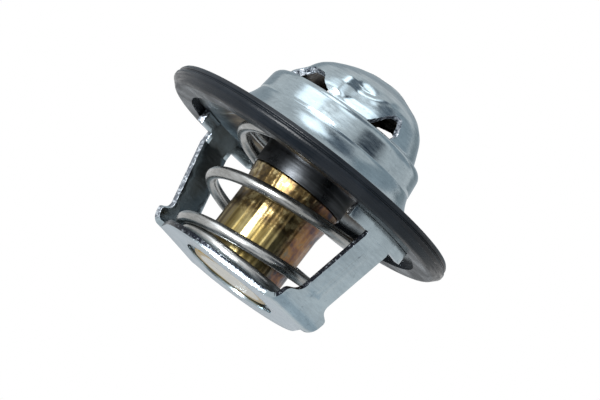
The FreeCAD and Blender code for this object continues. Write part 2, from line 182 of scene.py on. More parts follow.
# Stage; lengths in metres
WHITE = (1, 1, 1)
WORLD_COLOUR = (0.90, 0.95, 1.0)
WORLD_LEVEL = 0.6
FLOOR_HALF = 3.0              # half its width
FLOOR_DROP = 0.00005
FLOOR_COLOUR = (0.92, 0.93, 0.94)
FLOOR_GLOW = 0.25
LAMP = ("key", (-0.19, 0.20, 0.42), (0.20, 0.14), 6.0)   # name, place, size, power

# Cards: name, place from the aim (right, up, near), width and height, tone, soft edge
CARDS = (
    ("front", (-0.08, -0.20, 0.52), (0.36, 0.36), (0.26, 0.31, 0.37), 0.14),
    ("right_front", (0.335, -0.10, 0.41), (0.50, 0.60), (0.05, 0.07, 0.10), 0.16),
    ("right", (0.50, 0.10, -0.12), (0.46, 0.60), (0.50, 0.57, 0.62), 0.08),
    ("left_low", (-0.45, -0.28, 0.20), (0.44, 0.44), (0.16, 0.20, 0.25), 0.08),
    ("right_back", (0.385, -0.06, -0.48), (0.30, 0.36), (0.34, 0.40, 0.43), 0.08),
    ("low", (0.05, -0.50, -0.05), (0.70, 0.50), (0.70, 0.78, 0.84), 0.08),
    ("back", (0.05, 0.20, -0.55), (1.00, 0.48), (0.46, 0.52, 0.56), 0.08),
    ("top_left", (-0.16, 0.47, 0.20), (0.42, 0.34), (3.0, 3.1, 3.2), 0.10),
    ("top_flag", (0.205, 0.335, 0.18), (0.14, 0.14), (0.08, 0.10, 0.13), 0.06),
    ("top_lobe", (0.115, 0.39, 0.055), (0.24, 0.24), (3.4, 3.5, 3.6), 0.07),
    ("back_low", (-0.10, -0.16, -0.56), (0.40, 0.26), (0.66, 0.70, 0.74), 0.06),
    ("top_mid", (0.15, 0.33, 0.38), (0.28, 0.22), (2.6, 2.7, 2.8), 0.07),
    ("top_right", (0.34, 0.40, 0.10), (0.36, 0.44), (0.18, 0.22, 0.27), 0.10),
)


def from_camera(right, up, near):
    """A point in metres from the aim, given in the photograph's own directions."""
    return (aim * MM) + image_right * right + image_up * up - forward * near


def face_aim(thing, centre, axis):
    """Puts a lamp or card at a place and turns one of its axes to the aim."""
    thing.location = centre
    thing.rotation_mode = "QUATERNION"
    thing.rotation_quaternion = (aim * MM - centre).to_track_quat(axis, "Y")


def make_world():
    """Plain light on the object; the camera, metal and glass see white."""
    world = bpy.data.worlds.new("studio")
    bpy.context.scene.world = world
    tree = StageTree(world, "OutputWorld")
    path = tree.node("LightPath").outputs
    seen = path["Is Camera Ray"]
    for name in ("Is Glossy Ray", "Is Transmission Ray"):
        seen = tree.maths("MAXIMUM", seen, path[name])
    plain = tree.shader("Background", WORLD_COLOUR, WORLD_LEVEL)
    white = tree.shader("Background", WHITE, 1.0)
    tree.finish(tree.blend(seen, plain, white))


def flat_sheet(name, half_width, half_height, z):
    """Four-cornered sheet with a material of its own; returns the sheet and its tree."""
    w, h = half_width, half_height
    mesh = bpy.data.meshes.new(name)
    mesh.from_pydata([(-w, -h, z), (w, -h, z), (w, h, z), (-w, h, z)], [], [(0, 1, 2, 3)])
    sheet = bpy.data.objects.new(name, mesh)
    bpy.context.scene.collection.objects.link(sheet)
    material = bpy.data.materials.new(name)
    mesh.materials.append(material)
    return sheet, StageTree(material, "OutputMaterial")


def make_floor():
    """Pale floor under the base, seen from above only, so that the low camera looks past it."""
    floor, tree = flat_sheet("floor", FLOOR_HALF, FLOOR_HALF, -FLOOR_DROP)
    pale = tree.shader("BsdfDiffuse", FLOOR_COLOUR)
    glow = tree.shader("Emission", WHITE, FLOOR_GLOW)
    below = tree.node("NewGeometry").outputs["Backfacing"]
    tree.finish(tree.blend(below, tree.add(pale, glow), tree.clear()))
    floor.visible_diffuse = False
    floor.visible_glossy = False
    floor.visible_transmission = False
    floor.visible_shadow = False


def make_card(name, place, size, tone, soft):
    """Flat card with a soft edge that only reflections see."""
    halves = (size[0] / 2, size[1] / 2)
    card, tree = flat_sheet(name, *halves, 0)
    face_aim(card, from_camera(*place), "Z")
    split = tree.axes(tree.node("TexCoord").outputs["Object"])
    edges = []
    for axis, half in zip(("X", "Y"), halves):
        fade = tree.node("MapRange")
        fade.interpolation_type = "SMOOTHSTEP"
        tree.set(fade.inputs["From Min"], half)
        tree.set(fade.inputs["From Max"], half - soft)
        tree.set(fade.inputs["Value"], tree.maths("ABSOLUTE", split[axis]))
        edges.append(fade.outputs[0])
    tree.finish(tree.blend(tree.times(*edges), tree.clear(), tree.shader("Emission", tone)))
    card.visible_camera = False
    card.visible_diffuse = False
    card.visible_shadow = False
    card.visible_transmission = False


def make_lamp(name, place, size, power):
    data = bpy.data.lights.new(name, "AREA")
    data.shape = "RECTANGLE"
    data.size, data.size_y = size
    data.energy = power
    lamp = bpy.data.objects.new(name, data)
    face_aim(lamp, from_camera(*place), "-Z")
    bpy.context.scene.collection.objects.link(lamp)


# Looks; noise scales are per metre and bump heights in metres
TINT_TURN = math.radians(40.0)     # azimuth of the heat tints on the wax element
ELEMENT_UNIT = 7.5                 # millimetres; the element's look is laid out in shares of it
TORN_HEIGHT = 2 * MM               # the base's rim turns from smooth to torn within this height
PLAIN_EDGE = (0.27, 0.32, 0.35)


class Look(Tree):
    """A material with a principled shader, in the object's own coordinates."""

    def __init__(self, name, metallic=1.0, roughness=0.3):
        self.material = bpy.data.materials.new(name)
        super().__init__(self.material)
        self.shader = self.tree.nodes["Principled BSDF"]
        self.put(metallic, "Metallic")
        self.put(roughness, "Roughness")
        self.place = self.node("TexCoord").outputs["Object"]

    def put(self, value, name):
        self.set(self.shader.inputs[name], value)

    def stretched(self, scale):
        n = self.node("Mapping")
        n.inputs["Scale"].default_value = scale
        self.link(self.place, n.inputs["Vector"])
        return n.outputs[0]

    def noise(self, scale, detail=3, roughness=0.5, place=None, distortion=0.0):
        n = self.node("TexNoise")
        self.set(n.inputs["Scale"], scale)
        self.set(n.inputs["Detail"], detail)
        self.set(n.inputs["Roughness"], roughness)
        self.set(n.inputs["Distortion"], distortion)
        self.link(place or self.place, n.inputs["Vector"])
        return n.outputs["Fac"]

    def ramp(self, source, *stops):
        """Colours or numbers at places along a source from 0 to 1."""
        n = self.node("ValToRGB")
        elements = n.color_ramp.elements
        while len(elements) < len(stops):
            elements.new(0.5)
        for element, (at, colour) in zip(elements, stops):
            element.position = at
            if isinstance(colour, (int, float)):
                colour = (colour, colour, colour)
            element.color = (*colour, 1)
        self.link(source, n.inputs[0])
        return n.outputs[0]

    def mix(self, factor, first, second):
        n = self.node("Mix")
        n.data_type = "RGBA"
        self.set(n.inputs[0], factor)
        self.set(n.inputs[6], first)
        self.set(n.inputs[7], second)
        return n.outputs[2]

    def shares(self, first, second):
        """Six tenths of one source and four tenths of another."""
        return self.plus(self.times(first, 0.6), self.times(second, 0.4))

    def from_axis(self, unit):
        """Distance from the object's axis as a share of a length in millimetres."""
        x, y, _ = self.axes(self.place)
        square = self.plus(self.maths("POWER", x, 2.0), self.maths("POWER", y, 2.0))
        return self.times(self.maths("SQRT", square), 1 / (unit * MM))

    def bump(self, source, height, normal=None):
        n = self.node("Bump")
        self.set(n.inputs["Distance"], height)
        self.link(source, n.inputs["Height"])
        if normal is not None:
            self.link(normal, n.inputs["Normal"])
        return n.outputs[0]


def steel_look(name, light, dark, smooth, rough, grain):
    """Bright stamped or drawn steel: cloudy tone, streaks of the drawing, fine grain and small pits."""
    look = Look(name)
    streak = look.noise(500, 4, 0.6, look.stretched((1, 1, 5)))
    tone = look.ramp(look.shares(look.noise(110, 5, 0.6), streak), (0.38, dark), (0.60, light))
    specks = look.ramp(look.noise(1500, 2, 0.5), (0.64, 0.0), (0.74, 1.0))
    pit = tuple(c * 0.4 for c in dark)
    look.put(look.mix(look.times(specks, 0.3), tone, pit), "Base Color")
    patch = look.shares(look.noise(240, 4, 0.6), streak)
    look.put(look.ramp(patch, (0.35, smooth), (0.65, rough)), "Roughness")
    waves = look.bump(look.noise(170), grain * 14)
    ripple = look.bump(look.noise(600, place=look.stretched((1, 1, 3))), grain * 3, waves)
    look.put(look.bump(look.noise(2600, roughness=0.6), grain, ripple), "Normal")
    return look


def collar_look():
    """Drawn steel of the valve's collar: dark, with fine rings round it, whose light and dark lines are
    partly painted highlight and shade of its ridges.
    """
    look = Look("collar_steel")
    rings = look.noise(520, 3, 0.6, look.stretched((0.06, 0.06, 1)))
    # painted highlight and shade: the rings' light and dark lines stand in for light caught on the ridges
    # and shade between them
    tone = look.ramp(
        rings, (0.40, (0.035, 0.038, 0.042)), (0.52, (0.052, 0.057, 0.063)), (0.64, (0.13, 0.14, 0.15)),
    )
    look.put(tone, "Base Color")
    look.put(look.ramp(look.noise(260, 4, 0.6), (0.35, 0.24), (0.65, 0.42)), "Roughness")
    look.put(look.bump(rings, 0.06 * MM), "Normal")
    return look


def inner_steel_look():
    """Dull steel of the sheet's inner side: painted shade inside the dome, near black with brown and gold
    mottling, and plain under the flange.
    """
    look = Look("inner_steel")
    inner_blotches = look.noise(260, 5, 0.65, distortion=0.6)
    # painted shade: inside the dome the tone runs from near black to brown, standing in for the shade there
    painted_shade_inside = look.ramp(
        inner_blotches, (0.30, (0.015, 0.012, 0.010)), (0.48, (0.060, 0.050, 0.040)),
        (0.60, (0.16, 0.13, 0.09)), (0.72, (0.30, 0.33, 0.36)),
    )
    plain = look.ramp(inner_blotches, (0.35, (0.10, 0.12, 0.135)), (0.65, (0.24, 0.285, 0.31)))
    # the painted shade inside gives way to the plain, lighter tone under the flange's outer part
    outer = look.ramp(look.from_axis(FLANGE_RADIUS), (0.70, 0.0), (0.78, 0.85))
    look.put(look.mix(outer, painted_shade_inside, plain), "Base Color")
    look.put(look.ramp(look.noise(300, 4, 0.6), (0.3, 0.22), (0.7, 0.5)), "Roughness")
    look.put(look.bump(look.noise(240, distortion=0.8), 0.2 * MM), "Normal")
    return look


def torn_steel_look():
    """Sheared edge of sheet, with painted light: bright specks stand in for glints on the burrs, and
    near-black tears between them stand in for shade.
    """
    look = Look("torn_steel", 0.7, 0.4)
    burrs_and_glints = look.noise(1500, 3, 0.7, distortion=0.5)
    # painted glints and shade: along the torn edge the tone runs from near black to bright
    tone = look.ramp(
        burrs_and_glints, (0.40, (0.04, 0.05, 0.07)), (0.50, (0.26, 0.30, 0.34)), (0.64, (0.60, 0.64, 0.70)),
    )
    look.put(tone, "Base Color")
    look.put(look.bump(burrs_and_glints, 0.2 * MM), "Normal")
    return look


def cut_edge_look(name, dark, light, start):
    """Sheared edge of the strap: jagged along the cut, smooth low on the base's rim; the jagged part is
    painted dark for shade, with light specks for glints.
    """
    look = Look(name)
    jag = look.noise(1900, 3, 0.7, distortion=0.4)
    # painted shade and glints: the jagged tone runs from the dark colour to the light one
    torn = look.ramp(jag, (start, dark), (start + 0.10, light))
    height = look.times(look.axes(look.place)["Z"], 1 / TORN_HEIGHT)
    sheared = look.ramp(look.plus(height, look.times(jag, 0.3)), (0.38, 0.0), (0.52, 1.0))
    look.put(look.mix(sheared, PLAIN_EDGE, torn), "Base Color")
    look.put(look.bump(jag, 0.08 * MM), "Normal")
    return look


def rubber_look():
    """Moulded black rubber with faint rings."""
    look = Look("black_rubber", 0.0)
    rings = look.noise(900, 4, 0.6, look.stretched((0.25, 0.25, 4)))
    cloud = look.noise(160, 4, 0.6)
    tone = look.ramp(cloud, (0.3, (0.003, 0.0045, 0.0065)), (0.7, (0.008, 0.0105, 0.014)))
    look.put(tone, "Base Color")
    look.put(look.ramp(rings, (0.35, 0.20), (0.65, 0.42)), "Roughness")
    look.put(0.16, "Specular IOR Level")
    ripple = look.bump(rings, 0.03 * MM)
    look.put(look.bump(look.noise(3200, roughness=0.6), 0.02 * MM, ripple), "Normal")
    return look


def brass_look():
    """Brass of the wax element: drawn streaks, painted light and dark so that they also stand in for
    streaky reflections;
    mottled tarnish below the collar, painted darker as the shade under the spring and the collar; heat
    tints on its right and a pale, gold-rimmed underside."""
    look = Look("brass")
    blur = look.times(look.maths("SUBTRACT", look.noise(260, 3, 0.6), 0.5), 0.22)

    streaks = look.noise(380, 4, 0.6, look.stretched((1, 1, 0.07)))
    # painted reflection: the drawn streaks' light and dark bands also stand in for streaky reflections
    # along the element
    drawn = look.ramp(
        streaks, (0.38, (0.05, 0.034, 0.012)), (0.48, (0.13, 0.098, 0.034)), (0.62, (0.27, 0.225, 0.105)),
    )
    mottle = look.ramp(
        look.noise(700, 4, 0.65), (0.36, (0.03, 0.02, 0.012)), (0.52, (0.10, 0.066, 0.025)),
        (0.64, (0.34, 0.28, 0.145)),
    )
    x, y, z = look.axes(look.place)
    height = look.times(z, 1 / (SEAL_PLANE * MM))
    # painted shade: the upper part turns to the dark mottle, tarnish darkened for the shade under the
    # spring and the collar
    tarnish_and_shade = look.ramp(look.plus(height, blur), (0.45, 0.0), (0.54, 0.95), (0.62, 0.80), (0.80, 0.95))
    tone = look.mix(tarnish_and_shade, drawn, mottle)

    tints = look.ramp(
        look.noise(330, 3, 0.6), (0.35, (0.04, 0.045, 0.07)), (0.47, (0.15, 0.08, 0.06)),
        (0.58, (0.25, 0.135, 0.055)), (0.72, (0.09, 0.115, 0.12)),
    )
    unit = ELEMENT_UNIT * MM
    across = look.plus(look.times(x, math.cos(TINT_TURN) / unit), look.times(y, math.sin(TINT_TURN) / unit))
    tinted = look.ramp(look.plus(across, look.times(blur, 1.2)), (0.45, 0.0), (0.75, 0.9))
    tone = look.mix(tinted, tone, tints)

    rim = look.plus(look.from_axis(ELEMENT_UNIT), look.times(blur, 0.4))
    under = look.ramp(rim, (0.74, (0.56, 0.54, 0.48)), (0.80, (0.34, 0.23, 0.05)))
    facing = look.axes(look.node("TexCoord").outputs["Normal"])
    below = look.ramp(look.times(facing["Z"], -1.0), (0.55, 0.0), (0.75, 1.0))
    look.put(look.mix(below, tone, under), "Base Color")

    look.put(look.ramp(look.noise(300, 4, 0.6), (0.3, 0.24), (0.7, 0.44)), "Roughness")
    waves = look.bump(look.noise(400, 2, 0.5, look.stretched((1, 1, 0.05))), 0.7 * MM)
    look.put(look.bump(look.noise(1300), 0.02 * MM, waves), "Normal")
    return look


def plain_look(name, first, second, roughness):
    """Cloudy look of the hidden wax and polymer."""
    look = Look(name, 0.0, roughness)
    look.put(look.ramp(look.noise(300, 4, 0.6), (0.3, first), (0.7, second)), "Base Color")
    look.put(look.bump(look.noise(1800), 0.02 * MM), "Normal")
    return look


# Mesh helpers
WELD = 0.002                  # millimetres
SMOOTH_ANGLE = 40             # degrees


def smooth_step(low, high, value):
    share = min(max((value - low) / (high - low), 0), 1)
    return share * share * (3 - 2 * share)


def bell(value, width):
    return math.exp(-(value / width) ** 2)


def wrapped(turn):
    """A turn in degrees brought between -180 and 180."""
    return (turn + 180) % 360 - 180


def rounded(points, fillets, step):
    """Points along a path in a plane with its corners rounded."""
    path = [Vector(points[0])]
    for before, corner, after, fillet in zip(points, points[1:], points[2:], fillets):
        corner = Vector(corner)
        back = (Vector(before) - corner).normalized()
        ahead = (Vector(after) - corner).normalized()
        turn = math.pi - back.angle(ahead)
        centre = corner + (back + ahead).normalized() * (fillet / math.cos(turn / 2))
        start = corner + back * fillet * math.tan(turn / 2) - centre
        end = corner + ahead * fillet * math.tan(turn / 2) - centre
        count = max(3, math.ceil(fillet * turn / step))
        for index in range(count + 1):
            share = index / count
            spoke = start * math.sin((1 - share) * turn) + end * math.sin(share * turn)
            path.append(centre + spoke / math.sin(turn))
    path.append(Vector(points[-1]))
    full = [path[0]]
    for a, b in zip(path, path[1:]):
        parts = max(1, math.ceil((b - a).length / step))
        full += [a.lerp(b, (i + 1) / parts) for i in range(parts)]
    return full


def soften(piece, angle):
    mesh = piece.data
    mesh.polygons.foreach_set("use_smooth", [True] * len(mesh.polygons))
    mesh.set_sharp_from_angle(angle=math.radians(angle))


def new_piece(name, verts, faces, material):
    """Mesh object from points in millimetres."""
    mesh = bpy.data.meshes.new(name)
    mesh.from_pydata([Vector(v) * MM for v in verts], [], faces)
    mesh.validate()
    mesh.materials.append(material)
    piece = bpy.data.objects.new(name, mesh)
    bpy.context.scene.collection.objects.link(piece)
    soften(piece, SMOOTH_ANGLE)
    return piece


def settle(piece, angle):
    """Puts the modifiers' result into the mesh."""
    bpy.context.view_layer.update()
    graph = bpy.context.evaluated_depsgraph_get()
    mesh = bpy.data.meshes.new_from_object(piece.evaluated_get(graph), depsgraph=graph)
    piece.modifiers.clear()
    old = piece.data
    piece.data = mesh
    bpy.data.meshes.remove(old)
    soften(piece, angle)


# Dome: outline
COLUMNS = 320
FLARE_POINTS = 27
OUTLINE_STEP = 0.28
UPPER_FILLETS = (1.6, 0.5, 6.5, 6.0)
FOLD_LINE = ((-0.12, 0.12), (-0.15, 0.27), (-0.05, 0.45))   # radius and rise from the band's foot
FOLD_END = 0.7                # the band's own outline goes on above this rise from its foot


def dome_profile():
    """Outer outline from the flange's edge to the crown, as radius and rise."""
    rise = BAND_RISE - FLANGE_TOP
    run = math.sqrt(FLARE_RADIUS ** 2 - (FLARE_RADIUS - rise) ** 2)
    centre = Vector((BAND_RADIUS + run, FLANGE_TOP + FLARE_RADIUS))
    sweep = math.asin(run / FLARE_RADIUS)
    path = [Vector((FLANGE_RADIUS, FLANGE_TOP))]
    for index in range(FLARE_POINTS):
        angle = sweep * index / (FLARE_POINTS - 1)
        path.append(centre - Vector((math.sin(angle), math.cos(angle))) * FLARE_RADIUS)
    path += [Vector((BAND_RADIUS + out, BAND_RISE + up)) for out, up in FOLD_LINE]
    upper = [
        (BAND_RADIUS, BAND_RISE), (SHOULDER_RADIUS, SHOULDER_RISE), (CAP_FOOT_RADIUS, CAP_FOOT_RISE),
        CAP_FLANK, (CROWN_RADIUS, CROWN_RISE), (0.02, CROWN_RISE),
    ]
    wall = rounded(upper, UPPER_FILLETS, OUTLINE_STEP)
    path += [point for point in wall if point.y > BAND_RISE + FOLD_END]
    return path


class Outline:
    """A path with its lengths and outward normals."""

    def __init__(self, path):
        self.path = path
        self.lengths = [0.0]
        for a, b in zip(path, path[1:]):
            self.lengths.append(self.lengths[-1] + (b - a).length)
        self.normals = []
        for index in range(len(path)):
            along = path[min(index + 1, len(path) - 1)] - path[max(index - 1, 0)]
            self.normals.append(Vector((along.y, -along.x)).normalized())

    def row_below(self, length):
        return bisect.bisect_right(self.lengths, length) - 1

    def at(self, length):
        """Point and normal at a length along the path."""
        index = min(max(self.row_below(length), 0), len(self.path) - 2)
        share = (length - self.lengths[index]) / (self.lengths[index + 1] - self.lengths[index])
        point = self.path[index].lerp(self.path[index + 1], share)
        return point, self.normals[index].lerp(self.normals[index + 1], share)

    def length_at(self, rise):
        for index, (low, high) in enumerate(zip(self.path, self.path[1:])):
            if low.y <= rise <= high.y:
                share = (rise - low.y) / (high.y - low.y)
                return self.lengths[index] + share * (self.lengths[index + 1] - self.lengths[index])
        return self.lengths[-1]


# Dome: the two dents; angles in degrees from a dent's middle, and turns as azimuths
DENT_TURN = -66.0             # middle of the first dent
DENT_SECTIONS = (             # rise, radius of the middle, radius of the cap, run-out angle
    (12.42, 14.6, 14.6, 40), (12.60, 12.4, 12.9, 40), (12.75, 10.9, 12.75, 40), (13.0, 10.45, 12.66, 41),
    (14.2, 10.3, 12.15, 45), (16.0, 9.75, 11.3, 52), (17.5, 8.85, 10.3, 56), (18.6, 7.7, 9.0, 58),
    (19.5, 6.3, 7.6, 60), (20.3, 4.5, 6.2, 62), (20.9, 3.0, 4.6, 64), (21.4, 2.2, 4.3, 64),
)
DENT_REACH = 88.0
DENT_CREASE = 0.5
DENT_PROBE = 0.05
DENT_ROUNDS = 4
CLEAR = -9.0                  # stands for a point well away from the dent
LEAN_RISES = (15.5, 19.5)     # between them the press turns from inward to along the normal
LOBE = (-0.38, -6.0, 20.0, 9.0)         # depth, middle, width to the left and to the right
DARK_FOLD = (0.62, 12.0, 11.0, 24.0)
EDGE_CREASE = -0.30
CREASE_WIDTH = 9.0
CREASE_MIDDLE = 25.0          # at the rise below, and further out by the slope per millimetre
CREASE_RISE = 16.1
CREASE_SLOPE = 7.0
SIDE_TURN = -140.0            # middle of the flattened side
SIDE_PRESS = 0.95
SIDE_WIDTH = 32.0


def dent_arc(section):
    """Middle radius and bow radius of the press tool's front at one section."""
    _, middle, cap, angle = section
    end = Vector((cap, 0))
    end.rotate(Matrix.Rotation(math.radians(angle), 2))
    return middle, (((end.x - middle) ** 2 + end.y ** 2) / (2 * (middle - end.x)))


def over_dent(x, y, z):
    """Distance by which a point stands outside the dent's surface, along the dent's middle."""
    if z <= DENT_SECTIONS[0][0] or x < 0:
        return CLEAR
    for low, high in zip(DENT_SECTIONS, DENT_SECTIONS[1:]):
        if z <= high[0]:
            break
    share = min((z - low[0]) / (high[0] - low[0]), 1)
    (m0, b0), (m1, b1) = dent_arc(low), dent_arc(high)
    middle = m0 + (m1 - m0) * share
    bow = 1 / (1 / b0 + (1 / b1 - 1 / b0) * share)
    if abs(y) >= bow:
        return CLEAR
    return x - (middle - bow + math.sqrt(bow * bow - y * y))


def swell(local, depth, middle, left, right):
    return depth * bell(local - middle, left if local < middle else right)


def dent_relief(local, z):
    """Extra depth inside a dent: left lobe, steep fold, broad right lobe and the crease beside it."""
    window = smooth_step(13.0, 14.6, z) * (1 - smooth_step(17.5, 20.2, z))
    lean = CREASE_MIDDLE + (z - CREASE_RISE) * CREASE_SLOPE
    crease = EDGE_CREASE * bell(local - lean, CREASE_WIDTH) * smooth_step(15.2, 16.8, z)
    return (swell(local, *LOBE) + swell(local, *DARK_FOLD) + crease) * window


def side_press(turn, z):
    """Flattening of the cap beside the left opening."""
    return SIDE_PRESS * bell(wrapped(turn - SIDE_TURN), SIDE_WIDTH) * smooth_step(13.4, 16.2, z)


def dome_point(turn, radius, z, normal):
    """Point of the outer skin after the two dents are pressed in; turn in degrees."""
    press = side_press(turn, z) * smooth_step(0, 5, radius)
    radius -= press * normal.x
    z -= press * normal.y
    for dent in (DENT_TURN, DENT_TURN + 180):
        local = math.radians(wrapped(turn - dent))
        if abs(local) > math.radians(DENT_REACH) or z < DENT_SECTIONS[0][0]:
            continue
        inward = Vector((1, 0)).lerp(normal, smooth_step(*LEAN_RISES, z)).normalized()

        def over_at(r, h):
            return over_dent(r * math.cos(local), r * math.sin(local), h)

        moved = 0.0
        for _ in range(DENT_ROUNDS):
            r = radius - inward.x * moved
            h = z - inward.y * moved
            over = over_at(r, h)
            if over == CLEAR:
                break
            beyond = over_at(r - inward.x * DENT_PROBE, h - inward.y * DENT_PROBE)
            moved += over / max((over - beyond) / DENT_PROBE, 0.35)
        if over != CLEAR:
            depth = 0.5 * (moved + math.sqrt(moved * moved + DENT_CREASE ** 2))
            depth *= smooth_step(-3.0, -1.0, moved)
            depth += dent_relief(math.degrees(local), z)
            radius -= inward.x * depth
            z -= inward.y * depth
    angle = math.radians(turn)
    return Vector((radius * math.cos(angle), radius * math.sin(angle), SEAL_PLANE + z))


# Dome: the flow openings, as corners in degrees from the dent's middle and rise
OPENING_LEFT = ((-56, 12.70), (-43, 15.9), (-28, 15.7), (-16, 13.8), (-3, 12.70))
OPENING_RIGHT = ((29.4, 12.70), (49, 16.5), (59, 16.9), (59.5, 14.0), (53, 12.70))
OPENING_BACK = ((-56, 12.70), (-43, 15.9), (-24, 17.3), (-4, 16.9), (2, 15.0), (-1, 12.70))
OPENING_FILLET = 0.35
OPENING_STEP = 0.25
PATCH_RISES = (12.66, 17.7)   # the part of the cap that is meshed round the openings
PATCH_TURNS = (-62, 66)
PATCH_RADIUS = 12.0           # turns count as millimetres at this radius
RING_GAP = 0.05
RING_CLOSE = 0.12
GRID_CLEARANCE = 0.09
RAGGED = 0.16
RAGGED_FOOT = 0.03
RAGGED_SCALE = 1.7
RAGGED_SHIFT = Vector((31.7, 8.3, 0))
DEGREE = math.radians(1) * PATCH_RADIUS


def opening_ring(outline, dent, corners):
    """Ragged ring of one opening, on the unrolled cap."""
    corners = [((dent + angle) * DEGREE, outline.length_at(z)) for angle, z in corners]
    loop = rounded([*corners, corners[0], corners[1]], [OPENING_FILLET] * len(corners), OPENING_STEP)
    first = Vector(corners[0])
    start = next(i for i, point in enumerate(loop) if (point - first).length > 0.6)
    ring = []
    for point in loop[start:]:
        if len(ring) > 8 and (point - ring[0]).length < RING_CLOSE:
            break
        if not ring or (point - ring[-1]).length > RING_GAP:
            ring.append(point)
    ragged = []
    for point in ring:
        spot = Vector((point.x * RAGGED_SCALE, point.y * RAGGED_SCALE, dent))
        push = Vector((noise.noise(spot), noise.noise(spot + RAGGED_SHIFT)))
        push *= RAGGED if point.y > outline.length_at(12.9) else RAGGED_FOOT
        ragged.append(point + push)
    return ragged


def sides_of(ring):
    return zip(ring, ring[1:] + ring[:1])


def inside(point, ring):
    hit = False
    for a, b in sides_of(ring):
        if (a.y > point.y) != (b.y > point.y):
            if point.x < a.x + (point.y - a.y) / (b.y - a.y) * (b.x - a.x):
                hit = not hit
    return hit


def near(point, ring):
    for a, b in sides_of(ring):
        _, share = geometry.intersect_point_line(point, a, b)
        share = min(max(share, 0), 1)
        if (point - a.lerp(b, share)).length < GRID_CLEARANCE:
            return True
    return False


def patch_triangles(outline, rows, columns, rings):
    """Triangles of the unrolled cap between two rows and two columns, with the openings left out."""
    step = 360 / COLUMNS
    points = []
    for row in range(rows[0], rows[1] + 1):
        for column in range(columns[0], columns[1] + 1):
            point = Vector((column * step * DEGREE, outline.lengths[row]))
            border = row in rows or column in columns
            if border or not any(near(point, ring) for ring in rings):
                points.append(point)
    edges = []
    for ring in rings:
        base = len(points)
        points += ring
        edges += [(base + i, base + (i + 1) % len(ring)) for i in range(len(ring))]
    points, _, triangles, _, _, _ = geometry.delaunay_2d_cdt(points, edges, [], 0, 1e-6, False)
    kept = []
    for triangle in triangles:
        corners = [points[i] for i in triangle]
        middle = sum(corners, Vector((0, 0))) / 3
        if not any(inside(middle, ring) for ring in rings):
            kept.append([(corner.x / DEGREE, corner.y) for corner in corners])
    return kept


def dome_skin():
    """Points and faces of the outer skin: a plain grid, and a cut patch at each dent."""
    outline = Outline(dome_profile())
    rows = (outline.row_below(outline.length_at(PATCH_RISES[0])),
            outline.row_below(outline.length_at(PATCH_RISES[1])) + 2)
    step = 360 / COLUMNS
    dents = (DENT_TURN, DENT_TURN + 180)
    spans = [
        (math.floor((dent + PATCH_TURNS[0]) / step), math.ceil((dent + PATCH_TURNS[1]) / step))
        for dent in dents
    ]
    verts = []
    faces = []
    index_of = {}

    def vertex(turn, length):
        key = (round(turn % 360, 4) % 360, round(length, 4))
        if key not in index_of:
            point, normal = outline.at(length)
            index_of[key] = len(verts)
            verts.append(dome_point(turn, point.x, point.y, normal))
        return index_of[key]

    def add_face(corners):
        face = tuple(vertex(*corner) for corner in corners)
        if len(set(face)) == len(face):
            faces.append(face)

    for row, (low, high) in enumerate(zip(outline.lengths, outline.lengths[1:])):
        for column in range(COLUMNS):
            in_patch = any((column - first) % COLUMNS < last - first for first, last in spans)
            if rows[0] <= row < rows[1] and in_patch:
                continue
            left, right = column * step, (column + 1) * step
            add_face(((left, low), (right, low), (right, high), (left, high)))
    for dent, columns in zip(dents, spans):
        left_opening = OPENING_LEFT if dent == DENT_TURN else OPENING_BACK
        rings = [opening_ring(outline, dent, corners) for corners in (left_opening, OPENING_RIGHT)]
        for triangle in patch_triangles(outline, rows, columns, rings):
            add_face(triangle)
    return verts, faces


def make_dome(material, inner, torn):
    verts, faces = dome_skin()
    dome = new_piece("dome_and_flange", verts, faces, material)
    shell = bmesh.new()
    shell.from_mesh(dome.data)
    bmesh.ops.remove_doubles(shell, verts=shell.verts, dist=WELD * MM)
    bmesh.ops.recalc_face_normals(shell, faces=shell.faces)
    top = max(shell.faces, key=lambda f: f.calc_center_median().z)
    if top.normal.z < 0:
        bmesh.ops.reverse_faces(shell, faces=shell.faces)
    shell.to_mesh(dome.data)
    shell.free()
    dome.data.materials.append(inner)
    dome.data.materials.append(torn)
    solid = dome.modifiers.new("sheet", "SOLIDIFY")
    solid.thickness = SHEET * MM
    solid.offset = -1
    solid.use_even_offset = False
    solid.material_offset = 1
    solid.material_offset_rim = 2
    settle(dome, 50)
    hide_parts("flange_dome")
    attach(dome, "frame")


# Stirrup
BASE_LIFT = 1.0               # rise of the base's left end
LIFT_REACH = 17.0             # distance from the axis at which it is reached
LONG_EDGE = 2.5
HOLE_RIM = 9.0                # faces within this radius belong to the hole's wall
FOLD_X = 14.0                 # beyond this the strap is bent up into a leg
STRAP_BEVEL = 0.13


def base_lift(x, y):
    """How far the base rises toward its left bend, in millimetres."""
    left = -(x * math.cos(VIEW_TURN) + y * math.sin(VIEW_TURN))
    return BASE_LIFT * smooth_step(0, LIFT_REACH, left)


